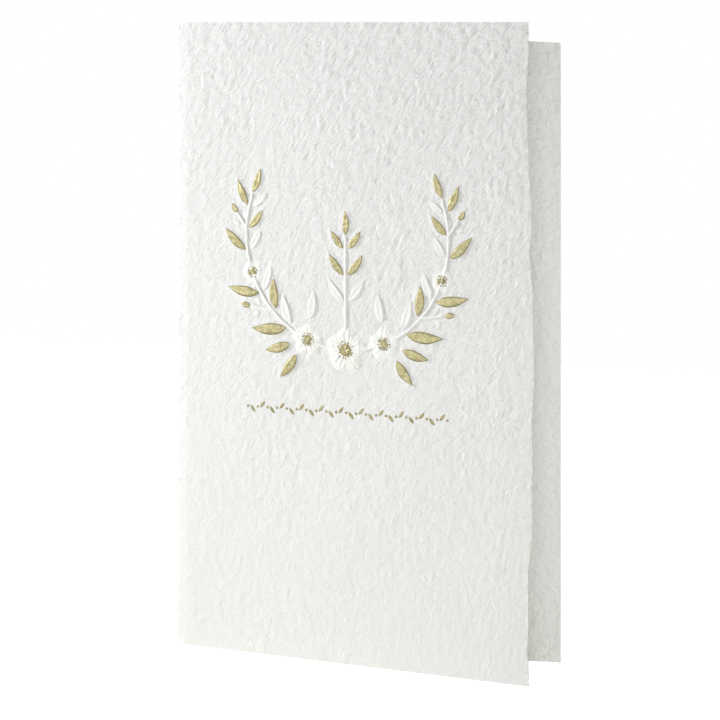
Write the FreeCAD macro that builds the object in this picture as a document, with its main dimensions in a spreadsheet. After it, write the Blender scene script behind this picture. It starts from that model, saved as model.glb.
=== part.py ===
import FreeCAD, Part
import Sketcher
import math
import os

from FreeCAD import Placement, Rotation, Vector

# Folded greeting card in thick handmade cotton paper, standing half open.
# One sheet is folded down its left side. The front panel carries a pressed relief of a
# laurel crescent round an upright sprig, part of it gilded with foil, and a row of small
# foil marks below. The front panel's free edge is torn, the other edges are cut.
# Millimetres, +Z up. The back panel is square to Y. The origin is the centre of the base.

doc = FreeCAD.newDocument("greeting_card")
sizes = doc.addObject("Spreadsheet::Sheet", "Sizes")

driving_dimensions = [
    ("panel_height", 184.0),  # 7 1/4 in
    ("back_width", 114.0),  # 4 1/2 in, from the fold to the cut edge
    ("front_width", 115.5),  # from the fold to the torn edge's furthest point
    ("paper_thickness", 0.6),
    ("fold_inner_radius", 0.9),
    ("opening_angle", 26.8),  # degrees between the two panels
    ("deckle_depth", 2.7),  # how far the torn edge wanders
    ("deckle_length", 185.0),  # one long wave of the torn edge
    ("deckle_crest", 86.0),  # height at which the long wave reaches furthest
    ("leaf_height_share", 0.21),  # of the leaf's own width
    ("bloom_centre_height", 0.7),
    ("petal_height_share", 0.2),  # of the petal's own radius
    ("stem_height", 0.4),
    ("stem_half_width", 0.45),
    ("foil_thickness", 0.08),
    ("foil_margin", 0.1),  # foil past the foot of the relief it covers
    ("crescent_radius", 32.5),
    ("crescent_drop", 61.5),  # from the top edge to the crescent's centre
    ("first_node_angle", 35.0),  # degrees from the crescent's lowest point
    ("node_step_angle", 11.5),
    ("node_count", 7),  # on each branch
    ("leaf_length", 11.5),
    ("leaf_width", 3.4),
    ("leaf_splay", 38.0),  # degrees between a leaf and its stem
    ("bloom_splay", 12.0),  # more splay for the leaves just below a branch's blossom
    ("inner_leaf_share", 0.8),  # length of a leaf inside the crescent, of one outside
    ("leaf_taper", 0.35),  # share of its size that a leaf loses at the branch's tip
    ("leaf_gap", 0.9),  # from a stem's centre to a leaf's foot
    ("bud_length", 3.2),
    ("bud_width", 1.7),
    ("stalk_gap", 0.4),  # from a stalk's end to the bud it carries
    ("bloom_radius", 6.6),  # the middle blossom
    ("side_bloom_radius", 5.0),
    ("side_bloom_angle", 22.0),  # degrees from the crescent's lowest point
    ("small_bloom_radius", 3.6),  # the blossom half way up each branch
    ("bloom_centre_share", 0.27),  # of its blossom's radius
    ("petal_count", 5),
    ("sprig_height", 32.0),  # from the crescent's lowest point
    ("sprig_leaf_length", 8.5),
    ("sprig_leaf_width", 2.6),
    ("sprig_node_pitch", 7.6),
    ("rule_drop", 112.0),  # from the top edge to the row of marks
    ("rule_pitch", 3.2),
    ("rule_mark_length", 2.7),
    ("rule_mark_width", 0.9),
    ("rule_lozenge_radius", 0.5),
    ("rule_side_count", 10),  # marks on each side of the middle one
]
for row, (alias, value) in enumerate(driving_dimensions, start=1):
    sizes.set(f"A{row}", alias)
    sizes.set(f"B{row}", str(value))
    sizes.setAlias(f"B{row}", alias)
doc.recompute()


def size(alias):
    return float(sizes.get(alias))


fold_outer_radius = size("fold_inner_radius") + size("paper_thickness")
turn = math.radians(size("opening_angle"))

# Directions of the back panel in the sheet's own frame, where the front panel lies along X
back_way = Vector(math.cos(turn), math.sin(turn), 0)
back_out = Vector(-math.sin(turn), math.cos(turn), 0)


# The bare sheet: its section is padded up, then the free edge is torn

blank = doc.addObject("PartDesign::Body", "blank")


def origin_plane(body, role):
    return next(f for f in body.Origin.OriginFeatures if f.Role == role)


def make_section(body):
    """The folded sheet seen from above."""
    inner = size("fold_inner_radius")
    outer = fold_outer_radius
    front_run = size("front_width") - outer
    back_run = size("back_width") - outer
    sketch = body.newObject("Sketcher::SketchObject", "section")
    sketch.AttachmentSupport = [(origin_plane(body, "XY_Plane"), "")]
    sketch.MapMode = "FlatFace"
    front_in, front_out = Vector(0, -inner, 0), Vector(0, -outer, 0)
    along = Vector(front_run, 0, 0)
    back_in, back_outer = back_out * inner, back_out * outer
    up = Vector(0, 0, 1)
    arc_start, arc_end = math.pi / 2 + turn, 1.5 * math.pi
    front_outer = sketch.addGeometry(Part.LineSegment(front_out + along, front_out))
    outer_arc = sketch.addGeometry(
        Part.ArcOfCircle(Part.Circle(Vector(), up, outer), arc_start, arc_end)
    )
    back_outer_line = sketch.addGeometry(
        Part.LineSegment(back_outer, back_outer + back_way * back_run)
    )
    back_edge = sketch.addGeometry(
        Part.LineSegment(back_outer + back_way * back_run, back_in + back_way * back_run)
    )
    back_inner = sketch.addGeometry(Part.LineSegment(back_in + back_way * back_run, back_in))
    inner_arc = sketch.addGeometry(
        Part.ArcOfCircle(Part.Circle(Vector(), up, inner), arc_start, arc_end)
    )
    front_inner = sketch.addGeometry(Part.LineSegment(front_in, front_in + along))
    front_edge = sketch.addGeometry(Part.LineSegment(front_in + along, front_out + along))

    origin_point = (-1, 1)
    start, end, centre = 1, 2, 3
    constraints = [
        ("Coincident", outer_arc, centre, *origin_point),
        ("Coincident", inner_arc, centre, *origin_point),
        ("Tangent", front_outer, end, outer_arc, end),
        ("Tangent", outer_arc, start, back_outer_line, start),
        ("Coincident", back_outer_line, end, back_edge, start),
        ("Coincident", back_edge, end, back_inner, start),
        ("Tangent", back_inner, end, inner_arc, start),
        ("Tangent", inner_arc, end, front_inner, start),
        ("Coincident", front_inner, end, front_edge, start),
        ("Coincident", front_edge, end, front_outer, start),
        ("Horizontal", front_outer),
        ("Vertical", front_edge),
        ("Perpendicular", back_edge, back_inner),
    ]
    for parts in constraints:
        sketch.addConstraint(Sketcher.Constraint(*parts))
    sized = [
        ("outer_radius", ("Radius", outer_arc, outer), "Sizes.fold_inner_radius + Sizes.paper_thickness"),
        ("inner_radius", ("Radius", inner_arc, inner), "Sizes.fold_inner_radius"),
        (
            "front_run",
            ("Distance", front_outer, front_run),
            "Sizes.front_width - Sizes.fold_inner_radius - Sizes.paper_thickness",
        ),
        (
            "back_run",
            ("Distance", back_outer_line, back_run),
            "Sizes.back_width - Sizes.fold_inner_radius - Sizes.paper_thickness",
        ),
        (
            "opening",
            ("Angle", front_inner, start, back_inner, end, turn),
            "Sizes.opening_angle * 1 deg",
        ),
    ]
    for name, parts, formula in sized:
        index = sketch.addConstraint(Sketcher.Constraint(*parts))
        sketch.renameConstraint(index, name)
        sketch.setExpression(f"Constraints.{name}", formula)
    return sketch


def edge_wander(z):
    """How far the torn edge stands back from its furthest point at the height z."""
    wave = 2 * math.pi * (z - size("deckle_crest")) / size("deckle_length")
    sway = 0.34 * math.cos(wave) + 0.1 * math.cos(4.2 * wave - 0.8) + 0.06 * math.cos(8.3 * wave)
    return size("deckle_depth") * (0.5 - sway)


def make_torn_edge(body):
    """What is torn away past the free edge of the front panel, seen from the front."""
    height = size("panel_height")
    run = size("front_width") - fold_outer_radius
    beyond = size("deckle_depth")
    count = math.ceil(height / 8)
    low, high = -beyond, height + beyond
    heights = [low + (high - low) * step / count for step in range(count + 1)]
    torn = Part.BSplineCurve()
    torn.interpolate([Vector(run - edge_wander(z), z, 0) for z in heights])
    sketch = body.newObject("Sketcher::SketchObject", "torn_edge")
    sketch.AttachmentSupport = [(origin_plane(body, "XZ_Plane"), "")]
    sketch.MapMode = "FlatFace"
    far_low, far_high = Vector(run + beyond, low, 0), Vector(run + beyond, high, 0)
    sketch.addGeometry(torn)
    sketch.addGeometry(Part.LineSegment(torn.EndPoint, far_high))
    sketch.addGeometry(Part.LineSegment(far_high, far_low))
    sketch.addGeometry(Part.LineSegment(far_low, torn.StartPoint))
    return sketch


section = make_section(blank)
sheet_pad = blank.newObject("PartDesign::Pad", "sheet_pad")
sheet_pad.Profile = section
sheet_pad.setExpression("Length", "Sizes.panel_height")
doc.recompute()
tear = blank.newObject("PartDesign::Pocket", "tear")
tear.Profile = make_torn_edge(blank)
tear.Midplane = True
tear.Type = "Length"
tear.setExpression("Length", "4 * (Sizes.fold_inner_radius + Sizes.paper_thickness)")
doc.recompute()


# Relief and foil are laid out on the front panel's face: U runs from the fold to the free
# edge, V up from the base and W out of the paper. Every raised form is a part of one ball
# or of two, so a leaf has a sharp midrib and a petal is a shallow dome.

centre_u = (size("front_width") - size("deckle_depth") / 2) / 2 - fold_outer_radius
crescent_v = size("panel_height") - size("crescent_drop")
rule_v = size("panel_height") - size("rule_drop")
outward = Vector(0, 0, 1)


def heading(angle):
    """A unit step on the face, with the angle in degrees from U."""
    return Vector(math.cos(math.radians(angle)), math.sin(math.radians(angle)), 0)


def on_crescent(side, angle):
    """A point of a branch: side is -1 or 1, and the angle is from the crescent's lowest point."""
    return Vector(centre_u, crescent_v, 0) + heading(-90 + side * angle) * size("crescent_radius")


def branch_heading(side, angle):
    """The way that a branch grows at that point, in degrees from U."""
    return -90 + side * (angle + 90)


def leaf_at(foot, angle, length, width):
    middle = foot + heading(angle) * (length / 2)
    return {"middle": middle, "angle": angle, "length": length, "width": width}


def dome_at(middle, radius, height):
    return {"middle": middle, "radius": radius, "height": height}


def bloom_at(middle, radius, angle):
    return {"middle": middle, "radius": radius, "angle": angle}


def stalk_at(foot, angle, length):
    return {"foot": foot, "angle": angle, "length": length}


class Layout:
    """Everything that stands up from the front panel, as plain lists of places and sizes."""

    def __init__(self):
        self.gilded_leaves = []
        self.plain_leaves = []
        self.blooms = []
        self.stalks = []
        self.branch_end = size("first_node_angle") + size("node_step_angle") * (size("node_count") - 0.5)
        self.place_branches()
        self.place_cluster()
        self.place_sprig()

    def place_branches(self):
        """Pairs of leaves along the crescent, with buds here and there and one blossom on each side."""
        bud_nodes, bloom_node = (1, 5), 3
        gap = size("leaf_gap")
        for side in (-1, 1):
            for k in range(int(size("node_count"))):
                angle = size("first_node_angle") + size("node_step_angle") * k
                share = 1 - size("leaf_taper") * k / size("node_count")
                length, width = size("leaf_length") * share, size("leaf_width") * share
                node, ahead = on_crescent(side, angle), branch_heading(side, angle)
                away = heading(-90 + side * angle)
                splay = size("leaf_splay") + (size("bloom_splay") if k == bloom_node - 1 else 0)
                if k == bloom_node:
                    self.blooms.append(bloom_at(node, size("small_bloom_radius"), ahead))
                    continue
                inner_length = size("inner_leaf_share") * length
                inner = leaf_at(node - away * gap, ahead + side * splay, inner_length, 0.9 * width)
                if k in bud_nodes:
                    self.place_buds(node, ahead - side * splay, length)
                    self.gilded_leaves.append(inner)
                else:
                    self.gilded_leaves.append(leaf_at(node + away * gap, ahead - side * splay, length, width))
                    self.plain_leaves.append(inner)
            tip, ahead = on_crescent(side, self.branch_end), branch_heading(side, self.branch_end)
            share = 1 - size("leaf_taper")
            self.gilded_leaves.append(
                leaf_at(tip + heading(ahead) * gap, ahead, size("leaf_length") * share, size("leaf_width") * share)
            )

    def place_buds(self, node, angle, length):
        """A stalk with a gilded bud at its end and a plain one on each side."""
        bud_length, bud_width = size("bud_length"), size("bud_width")
        along = heading(angle)
        self.stalks.append(stalk_at(node, angle, length - bud_length - size("stalk_gap")))
        self.gilded_leaves.append(leaf_at(node + along * (length - bud_length), angle, bud_length, bud_width))
        for hand in (-1, 1):
            foot = node + along * (length - 2 * bud_length) + heading(angle + hand * 90) * size("leaf_gap")
            self.plain_leaves.append(leaf_at(foot, angle + hand * 50, 0.8 * bud_length, 0.8 * bud_width))

    def place_cluster(self):
        """Three blossoms at the bottom of the crescent, with leaves round them."""
        self.middle_bloom = on_crescent(1, 0)
        self.blooms.append(bloom_at(self.middle_bloom, size("bloom_radius"), 90))
        length, width = 0.75 * size("leaf_length"), 0.85 * size("leaf_width")
        for side in (-1, 1):
            bloom = on_crescent(side, size("side_bloom_angle"))
            radius = size("side_bloom_radius")
            self.blooms.append(bloom_at(bloom, radius, branch_heading(side, size("side_bloom_angle"))))
            for angle, group in (
                (-52, self.gilded_leaves),
                (-16, self.gilded_leaves),
                (98, self.plain_leaves),
            ):
                way = angle if side > 0 else 180 - angle
                group.append(leaf_at(bloom + heading(way) * (radius + size("leaf_gap")), way, length, width))

    def place_sprig(self):
        """An upright sprig that grows from the middle blossom."""
        top = size("sprig_height")
        pitch = size("sprig_node_pitch")
        self.stalks.append(stalk_at(self.middle_bloom, 90, top))
        nodes = int((top - size("bloom_radius")) / pitch)
        for k in range(nodes):
            share = 1 - size("leaf_taper") * k / nodes
            length, width = size("sprig_leaf_length") * share, size("sprig_leaf_width") * share
            node = self.middle_bloom + heading(90) * (top - pitch * (nodes - 0.6 - k))
            group = self.plain_leaves if k == 0 else self.gilded_leaves
            for side in (-1, 1):
                foot = node + heading(90 - side * 90) * size("leaf_gap")
                group.append(leaf_at(foot, 90 - side * size("leaf_splay"), length, width))
        tip = self.middle_bloom + heading(90) * (top + size("leaf_gap"))
        share = 1 - size("leaf_taper") / 2
        self.gilded_leaves.append(
            leaf_at(tip, 90, size("sprig_leaf_length") * share, size("sprig_leaf_width") * share)
        )


def above(floor):
    """A block of space over the front panel, from the level given upwards."""
    width, height = size("front_width"), size("panel_height")
    return Part.makeBox(width, height, width, Vector(0, 0, floor))


def ball(middle, depth, radius):
    """A ball with its poles and seam level with the face, so that no raised form has them in it."""
    whole = Part.makeSphere(radius)
    whole.rotate(Vector(), Vector(1, 0, 0), 90)
    whole.translate(middle + outward * depth)
    return whole


def leaf_form(leaf, extra=0.0, rise=0.0):
    """What two balls share. Extra widens the outline all round, and rise lifts the midrib."""
    half_width = leaf["width"] / 2 + extra
    half_length = leaf["length"] / 2 + extra * leaf["length"] / leaf["width"]
    height = size("leaf_height_share") * leaf["width"] + rise
    rib_radius = (half_length**2 + height**2) / (2 * height)
    offset = (half_length**2 - half_width**2) / (2 * half_width)
    radius = math.hypot(rib_radius, offset)
    across = heading(leaf["angle"] + 90) * offset
    left = ball(leaf["middle"] + across, height - rib_radius, radius)
    right = ball(leaf["middle"] - across, height - rib_radius, radius)
    return left.common(right)


def dome_form(dome, extra=0.0, rise=0.0):
    """The top of a ball that stands out of the face."""
    foot, height = dome["radius"] + extra, dome["height"] + rise
    radius = (foot**2 + height**2) / (2 * height)
    return ball(dome["middle"], height - radius, radius)


def petals(bloom):
    """Shallow domes in a ring."""
    radius = bloom["radius"] / 2
    count = int(size("petal_count"))
    for k in range(count):
        way = heading(bloom["angle"] + 360 * k / count)
        yield dome_at(bloom["middle"] + way * radius, radius, size("petal_height_share") * radius)


def corners_round(middle, radius, turned):
    """The corners of a blossom's centre, two for each petal."""
    count = 2 * int(size("petal_count"))
    return [middle + heading(turned + 360 * k / count) * radius for k in range(count)]


def centre_form(bloom, extra=0.0, rise=0.0):
    """A low pyramid with two sides for each petal."""
    radius = size("bloom_centre_share") * bloom["radius"] + extra
    corners = corners_round(bloom["middle"], radius, bloom["angle"])
    peak = bloom["middle"] + outward * (size("bloom_centre_height") + rise)
    faces = [Part.Face(Part.makePolygon(corners + corners[:1]))]
    for near, far in zip(corners, corners[1:] + corners[:1]):
        faces.append(Part.Face(Part.makePolygon([near, far, peak, near])))
    return Part.Solid(Part.Shell(faces))


def centre_well(bloom):
    """The hollow between the petals that the centre stands in."""
    radius = size("bloom_centre_share") * bloom["radius"] + 2 * size("foil_margin")
    corners = corners_round(bloom["middle"], radius, bloom["angle"])
    return Part.Face(Part.makePolygon(corners + corners[:1])).extrude(outward * bloom["radius"])


def stem_section(foot, angle):
    """Across a stem: a ridge that stands on the face and reaches a little way into the sheet."""
    across, sunk = heading(angle + 90) * size("stem_half_width"), outward * (size("paper_thickness") / 2)
    corners = [foot + across, foot + outward * size("stem_height"), foot - across]
    return Part.Face(Part.makePolygon(corners + [foot - across - sunk, foot + across - sunk, foot + across]))


def stalk_form(stalk):
    return stem_section(stalk["foot"], stalk["angle"]).extrude(heading(stalk["angle"]) * stalk["length"])


def branch_form(side, end_angle):
    """A stem swept along the crescent, from its lowest point to the branch's end."""
    centre = Vector(centre_u, crescent_v, 0)
    return stem_section(on_crescent(side, 0), 0).revolve(centre, outward, side * end_angle)


def foil_over(form, thing):
    """The skin of foil over one raised form: a slightly larger one, less the form itself."""
    skin = form(thing, size("foil_margin"), size("foil_thickness"))
    return skin.cut(form(thing)).common(above(0))


def flat_mark(middle, angle, length, width):
    """A flat pointed mark of foil, with two tips and a straight stretch on each side."""
    along, across = heading(angle) * (length / 2), heading(angle + 90) * (width / 2)
    upper = [middle + across - along * 0.3, middle + across + along * 0.3]
    lower = [middle - across + along * 0.3, middle - across - along * 0.3]
    outline = [middle - along, *upper, middle + along, *lower, middle - along]
    return Part.Face(Part.makePolygon(outline)).extrude(outward * size("foil_thickness"))


def flat_lozenge(middle):
    corners = [middle + heading(90 * k) * size("rule_lozenge_radius") for k in range(4)]
    return Part.Face(Part.makePolygon(corners + corners[:1])).extrude(outward * size("foil_thickness"))


def rule_marks():
    """Small lozenges on one line, with slanting leaves between them, above and below in turn."""
    each_side = int(size("rule_side_count"))
    pitch = size("rule_pitch")
    lift = size("rule_lozenge_radius") + size("rule_mark_width")
    marks = []
    for k in range(-each_side, each_side + 1):
        marks.append(flat_lozenge(Vector(centre_u + k * pitch, rule_v, 0)))
    for k in range(-each_side, each_side):
        way = 1 if k % 2 else -1
        lean = 1 if k >= 0 else -1
        middle = Vector(centre_u + (k + 0.5) * pitch, rule_v + way * lift / 2, 0)
        marks.append(flat_mark(middle, lean * way * 50, size("rule_mark_length"), size("rule_mark_width")))
    return marks


layout = Layout()
raised = above(-size("paper_thickness") / 2)
petal_forms = [dome_form(p).common(raised) for b in layout.blooms for p in petals(b)]
stem_forms = [stalk_form(stalk) for stalk in layout.stalks]
stem_forms += [branch_form(side, layout.branch_end) for side in (-1, 1)]
wells = Part.Compound([centre_well(bloom) for bloom in layout.blooms])
soft_relief = petal_forms[0].fuse(petal_forms[1:] + stem_forms).cut(wells)

leaves = layout.gilded_leaves + layout.plain_leaves
own_forms = [centre_form(bloom) for bloom in layout.blooms]
own_forms += [leaf_form(leaf).common(raised) for leaf in leaves]
relief = soft_relief.fuse(own_forms)

# From the face's own frame, in which W is up, to the outer side of the front panel
face_place = Placement(Vector(0, -fold_outer_radius, 0), Rotation(Vector(1, 0, 0), 90))

def add_piece(name, shape):
    piece = doc.addObject("Part::Feature", name)
    piece.Shape = shape
    piece.Placement = face_place
    return piece


relief_piece = add_piece("relief", relief)
foil_leaves = add_piece("foil_leaves", Part.Compound([foil_over(leaf_form, x) for x in layout.gilded_leaves]))
foil_dots = add_piece("foil_dots", Part.Compound([foil_over(centre_form, x) for x in layout.blooms]))
foil_rule = add_piece("foil_rule", Part.Compound(rule_marks()))

folded_sheet = doc.addObject("Part::Fuse", "folded_sheet")
folded_sheet.Base = blank
folded_sheet.Tool = relief_piece
doc.recompute()

# Turn the card so that its back panel is square to Y, with the origin under its middle
turn_back = Rotation(outward, -size("opening_angle"))
turned = folded_sheet.Shape.copy()
turned.rotate(Vector(), outward, -size("opening_angle"))
box = turned.optimalBoundingBox(False)
stand = Placement(Vector(-box.Center.x, -box.Center.y, -box.ZMin), turn_back)
for piece in (folded_sheet, foil_leaves, foil_dots, foil_rule):
    piece.Placement = stand.multiply(piece.Placement)

failed = [o.Label for o in doc.Objects if {"Invalid", "Error"} & set(o.State)]
if failed:
    raise RuntimeError(f"these objects failed: {failed}")
os.makedirs("parts", exist_ok=True)
for piece in (folded_sheet, foil_leaves, foil_dots, foil_rule):
    shape = piece.Shape
    if shape.isNull() or not shape.isValid():
        raise RuntimeError(f"{piece.Label} has no valid shape")
    shape.exportStep(f"parts/{piece.Label}.step")
    print(piece.Label, len(shape.Solids), "solids", round(shape.Volume, 2), "mm3")
print(folded_sheet.Shape.BoundBox)
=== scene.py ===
import bmesh
import bpy
import math
import numpy as np
from mathutils import Matrix, Vector, noise


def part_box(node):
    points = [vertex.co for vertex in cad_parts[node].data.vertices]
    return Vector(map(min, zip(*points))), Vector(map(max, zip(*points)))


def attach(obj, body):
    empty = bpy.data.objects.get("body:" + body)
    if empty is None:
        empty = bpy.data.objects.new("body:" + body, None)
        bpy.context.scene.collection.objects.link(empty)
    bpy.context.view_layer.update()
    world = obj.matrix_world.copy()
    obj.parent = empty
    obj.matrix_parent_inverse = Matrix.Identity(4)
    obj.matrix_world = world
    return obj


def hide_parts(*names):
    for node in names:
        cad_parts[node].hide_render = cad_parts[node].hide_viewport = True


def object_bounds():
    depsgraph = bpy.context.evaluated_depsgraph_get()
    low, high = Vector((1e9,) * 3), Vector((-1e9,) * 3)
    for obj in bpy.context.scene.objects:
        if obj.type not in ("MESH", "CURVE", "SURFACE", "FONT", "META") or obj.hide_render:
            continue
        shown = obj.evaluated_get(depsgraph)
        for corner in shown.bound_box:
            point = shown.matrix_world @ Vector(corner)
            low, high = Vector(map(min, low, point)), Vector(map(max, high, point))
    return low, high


# Folded greeting card in handmade paper, with a pressed and gilded laurel crescent.
# Sizes in the dictionaries are in millimetres and degrees, and Blender's objects in metres.

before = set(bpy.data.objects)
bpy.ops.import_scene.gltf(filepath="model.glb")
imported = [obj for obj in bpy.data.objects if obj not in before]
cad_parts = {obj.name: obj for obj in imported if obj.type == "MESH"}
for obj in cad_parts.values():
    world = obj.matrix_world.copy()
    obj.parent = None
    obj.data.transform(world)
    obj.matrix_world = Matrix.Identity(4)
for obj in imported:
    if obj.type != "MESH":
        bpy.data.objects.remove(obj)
cadLow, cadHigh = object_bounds()
mm = 0.001
print("frame loaded:", sorted(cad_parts))


# The folded sheet and where it stands

card = {
    "height": 184.0,
    "backWidth": 114.0,
    "frontWidth": 115.5,  # to the torn edge's furthest point
    "thickness": 0.6,
    "foldInnerRadius": 0.9,
    "opening": 26.8,
    "tearDepth": 2.7,
    "tearLength": 185.0,
    "tearCrest": 86.0,
    "tearSway": ((1.0, 0.34, 0.0), (4.2, 0.1, 0.8), (8.3, 0.06, 0.0)),  # frequency, share and lag
}

foldOuterRadius = card["foldInnerRadius"] + card["thickness"]
foldMiddleRadius = card["foldInnerRadius"] + card["thickness"] / 2
openingTurn = math.radians(card["opening"])
foldRun = foldMiddleRadius * (math.pi - openingTurn)  # along the sheet, round the fold
frontRun = card["frontWidth"] - foldOuterRadius
backRun = card["backWidth"] - foldOuterRadius
foldX = cadLow.x / mm + foldOuterRadius
foldY = cadHigh.y / mm - foldOuterRadius


def sheetPoints(u, v, w):
    # u runs from the fold over the front, and below 0 round the fold and over the back.
    # v is up, and w is out of the middle of the sheet. The points are in the frame's metres.
    share = np.clip(-u / foldRun, 0, 1)
    turned = 1.5 * math.pi - openingTurn - share * (math.pi - openingTurn)
    outX, outY = np.cos(turned), np.sin(turned)
    onFront, onBack = np.maximum(u, 0), np.maximum(-u - foldRun, 0)
    x = foldX + (foldMiddleRadius + w) * outX + onFront * math.cos(openingTurn) + onBack
    y = foldY + (foldMiddleRadius + w) * outY - onFront * math.sin(openingTurn)
    return np.stack([x, y, v], axis=-1) * mm


# Where everything stands on the front panel

motif = {
    "crescentRadius": 32.5,
    "crescentDrop": 61.5,  # from the top edge to the crescent's centre
    "firstNode": 35.0,  # degrees from the crescent's lowest point
    "nodeStep": 11.5,
    "nodeCount": 7,
    "bloomNode": 3,
    "budNodes": (1, 5),
    "leafLength": 11.5,
    "leafWidth": 3.4,
    "leafSplay": 38.0,
    "bloomSplay": 12.0,  # more, for the leaves below the small blossoms
    "innerLeafShare": 0.8,
    "innerLeafWidth": 0.9,
    "leafTaper": 0.35,
    "leafGap": 0.9,
    "budLength": 3.2,
    "budWidth": 1.7,
    "stalkGap": 0.4,
    "sepalShare": 0.8,  # the two plain leaves under a bud, of the bud's size
    "sepalSplay": 50.0,
    "bloomRadius": 6.6,
    "sideBloomRadius": 5.0,
    "sideBloomAngle": 22.0,
    "smallBloomRadius": 3.6,
    "clusterLeaves": ((-52, True), (-16, True), (98, False)),  # angle, and gilded or plain
    "clusterLeafLength": 0.75,  # of a branch leaf's
    "clusterLeafWidth": 0.85,
    "centreShare": 0.27,  # a blossom's centre, of the blossom's radius
    "centreHeight": 0.62,
    "petalCount": 5,
    "petalHeightShare": 0.2,
    "sprigHeight": 32.0,
    "sprigLeafLength": 8.5,
    "sprigLeafWidth": 2.6,
    "sprigPitch": 7.6,
    "sprigStart": 0.6,  # of a pitch, from the tip down
    "stemHeight": 0.4,
    "stemHalfWidth": 0.45,
    "foilMargin": 0.1,
    "ruleDrop": 112.0,
    "rulePitch": 3.2,
    "ruleMarkLength": 2.7,
    "ruleMarkWidth": 0.9,
    "ruleMarkFlat": 0.3,  # the share of a mark's half length before it narrows
    "ruleMarkOffset": 0.7,
    "ruleLean": 50.0,
    "ruleLozengeRadius": 0.5,
    "ruleSideCount": 10,
}

centreU = (card["frontWidth"] - card["tearDepth"] / 2) / 2 - foldOuterRadius
crescentMiddle = np.array([centreU, card["height"] - motif["crescentDrop"]])
branchEnd = motif["firstNode"] + motif["nodeStep"] * (motif["nodeCount"] - 0.5)


def heading(angle):
    return np.array([math.cos(math.radians(angle)), math.sin(math.radians(angle))])


def onCrescent(side, angle):
    return crescentMiddle + heading(-90 + side * angle) * motif["crescentRadius"]


def branchHeading(side, angle):
    return -90 + side * (angle + 90)


def leafAt(foot, angle, length, width, gilded):
    middle = foot + heading(angle) * length / 2
    return {"middle": middle, "angle": angle, "length": length, "width": width, "gilded": gilded}


def layBranch(side, leaves, stalks, blooms):
    gap = motif["leafGap"]
    for k in range(motif["nodeCount"]):
        angle = motif["firstNode"] + motif["nodeStep"] * k
        share = 1 - motif["leafTaper"] * k / motif["nodeCount"]
        length, width = motif["leafLength"] * share, motif["leafWidth"] * share
        node, ahead, away = onCrescent(side, angle), branchHeading(side, angle), heading(-90 + side * angle)
        if k == motif["bloomNode"]:
            blooms.append({"middle": node, "radius": motif["smallBloomRadius"], "angle": ahead})
            continue
        splay = side * (motif["leafSplay"] + motif["bloomSplay"] * (k == motif["bloomNode"] - 1))
        budNode = k in motif["budNodes"]
        innerLength, innerWidth = motif["innerLeafShare"] * length, motif["innerLeafWidth"] * width
        leaves.append(leafAt(node - away * gap, ahead + splay, innerLength, innerWidth, budNode))
        if budNode:
            layBuds(leaves, stalks, node, ahead - splay, length)
        else:
            leaves.append(leafAt(node + away * gap, ahead - splay, length, width, True))
    ahead, share = branchHeading(side, branchEnd), 1 - motif["leafTaper"]
    foot = onCrescent(side, branchEnd) + heading(ahead) * gap
    leaves.append(leafAt(foot, ahead, motif["leafLength"] * share, motif["leafWidth"] * share, True))


def layBuds(leaves, stalks, node, angle, length):
    budLength, budWidth, along = motif["budLength"], motif["budWidth"], heading(angle)
    stalks.append({"foot": node, "angle": angle, "length": length - budLength - motif["stalkGap"]})
    leaves.append(leafAt(node + along * (length - budLength), angle, budLength, budWidth, True))
    share, splay = motif["sepalShare"], motif["sepalSplay"]
    for hand in (-1, 1):
        foot = node + along * (length - 2 * budLength) + heading(angle + hand * 90) * motif["leafGap"]
        leaves.append(leafAt(foot, angle + hand * splay, share * budLength, share * budWidth, False))


def layCluster(leaves, blooms):
    blooms.append({"middle": onCrescent(1, 0), "radius": motif["bloomRadius"], "angle": 90})
    length = motif["clusterLeafLength"] * motif["leafLength"]
    width = motif["clusterLeafWidth"] * motif["leafWidth"]
    radius, turn = motif["sideBloomRadius"], motif["sideBloomAngle"]
    for side in (-1, 1):
        bloom = onCrescent(side, turn)
        blooms.append({"middle": bloom, "radius": radius, "angle": branchHeading(side, turn)})
        for angle, gilded in motif["clusterLeaves"]:
            way = angle if side > 0 else 180 - angle
            foot = bloom + heading(way) * (radius + motif["leafGap"])
            leaves.append(leafAt(foot, way, length, width, gilded))


def laySprig(leaves, stalks):
    foot, top, pitch = onCrescent(1, 0), motif["sprigHeight"], motif["sprigPitch"]
    stalks.append({"foot": foot, "angle": 90, "length": top})
    nodes = int((top - motif["bloomRadius"]) / pitch)
    for k in range(nodes):
        share = 1 - motif["leafTaper"] * k / nodes
        length, width = motif["sprigLeafLength"] * share, motif["sprigLeafWidth"] * share
        node = foot + heading(90) * (top - pitch * (nodes - motif["sprigStart"] - k))
        for side in (-1, 1):
            start = node + heading(90 - side * 90) * motif["leafGap"]
            leaves.append(leafAt(start, 90 - side * motif["leafSplay"], length, width, k > 0))
    share = 1 - motif["leafTaper"] / 2
    tip = foot + heading(90) * (top + motif["leafGap"])
    leaves.append(leafAt(tip, 90, motif["sprigLeafLength"] * share, motif["sprigLeafWidth"] * share, True))


leaves, stalks, blooms = [], [], []
layBranch(-1, leaves, stalks, blooms)
layBranch(1, leaves, stalks, blooms)
layCluster(leaves, blooms)
laySprig(leaves, stalks)
print("motif laid out:", len(leaves), "leaves,", len(blooms), "blossoms")


# Heights of the pressed forms over the face. Outside a form this is the distance to it, below 0.

farAway = -9.0  # the height where no form is near


def turnedInto(points, middle, angle):
    away, along = points - middle, heading(angle)
    return away @ along, away @ np.array([-along[1], along[0]])


def ballCap(distance, radius, height):
    ballRadius = (radius**2 + height**2) / (2 * height)
    cap = height - ballRadius + np.sqrt(np.maximum(ballRadius**2 - distance**2, 0))
    return np.where(distance < radius, cap, radius - distance)


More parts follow.
